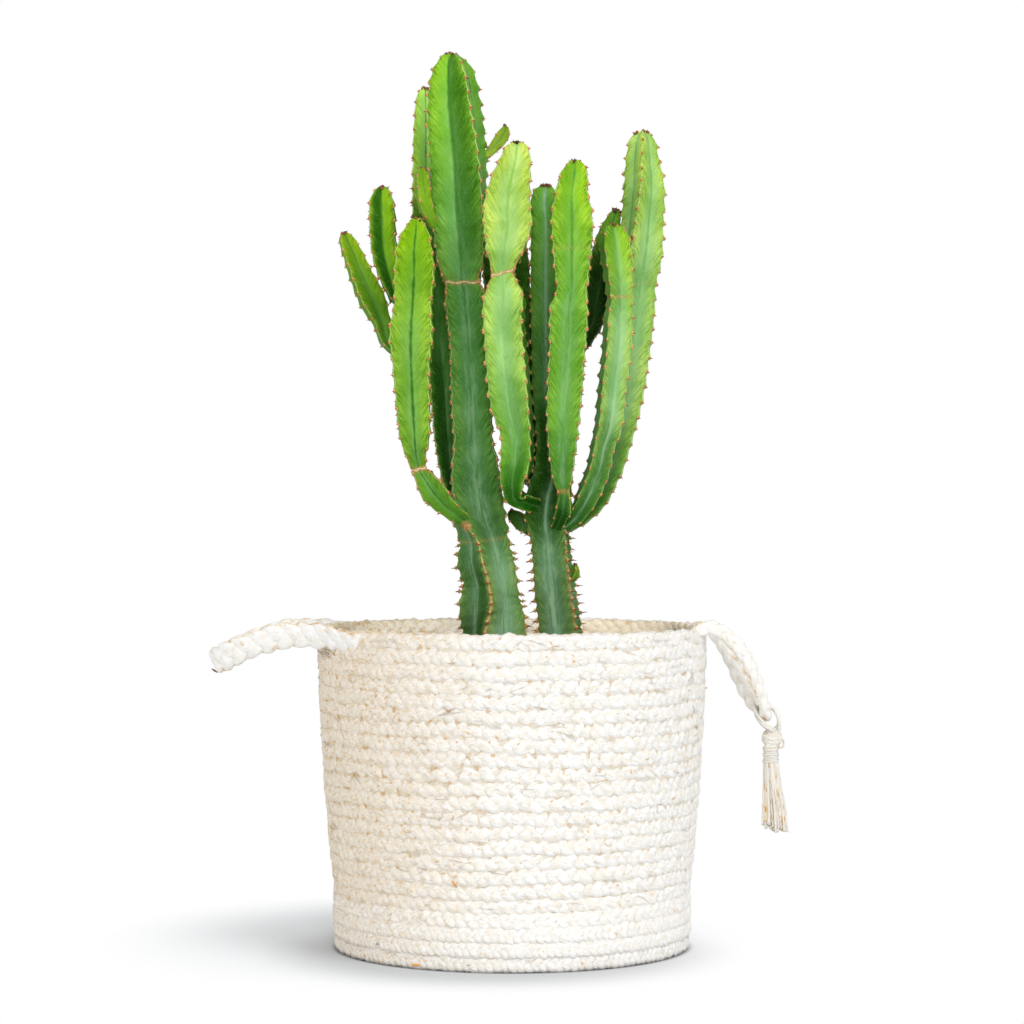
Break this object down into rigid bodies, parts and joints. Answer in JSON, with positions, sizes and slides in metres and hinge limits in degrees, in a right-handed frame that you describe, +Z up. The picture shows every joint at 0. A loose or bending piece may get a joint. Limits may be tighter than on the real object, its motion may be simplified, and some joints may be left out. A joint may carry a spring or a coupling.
{
  "type": "potted euphorbia",
  "caption": "Upright branching euphorbia with ribbed, spiny stems, in a nursery pot standing in a round braided basket with loop handles and a tassel.",
  "frame": {"origin": "on the floor, under the centre of the basket's round base", "axes": "+Z up; -Y is the front of the plant; the handle with the tassel is at +X"},
  "size_m": [0.3694, 0.2506, 0.576],
  "materials": {
    "braid": "matte",
    "twine": "matte",
    "pot": "satin",
    "soil": "matte",
    "old_stem": "satin",
    "young_stem": "satin"
  },
  "bodies": {
    "root": {"basket_base": "braid", "basket_wall": "braid", "resting_handle": "braid", "hanging_handle": "braid", "tassel_tie": "twine", "tassel_knot": "twine", "tassel_binding": "twine", "tassel_fringe": "twine", "nursery_pot": "pot", "soil": "soil", "left_main_stem": "old_stem", "left_back_stem": "old_stem", "right_main_stem": "old_stem", "centre_back_branch": "old_stem", "back_right_branch": "old_stem", "low_stub": "old_stem", "front_left_branch": "young_stem", "far_left_branch": "young_stem", "upper_left_branch": "young_stem", "left_shoot": "young_stem", "right_shoot": "young_stem", "trunk_bud": "young_stem", "centre_branch": "young_stem", "outer_right_branch": "young_stem", "front_right_branch": "young_stem", "inner_right_branch": "young_stem"}
  },
  "joints": []
}
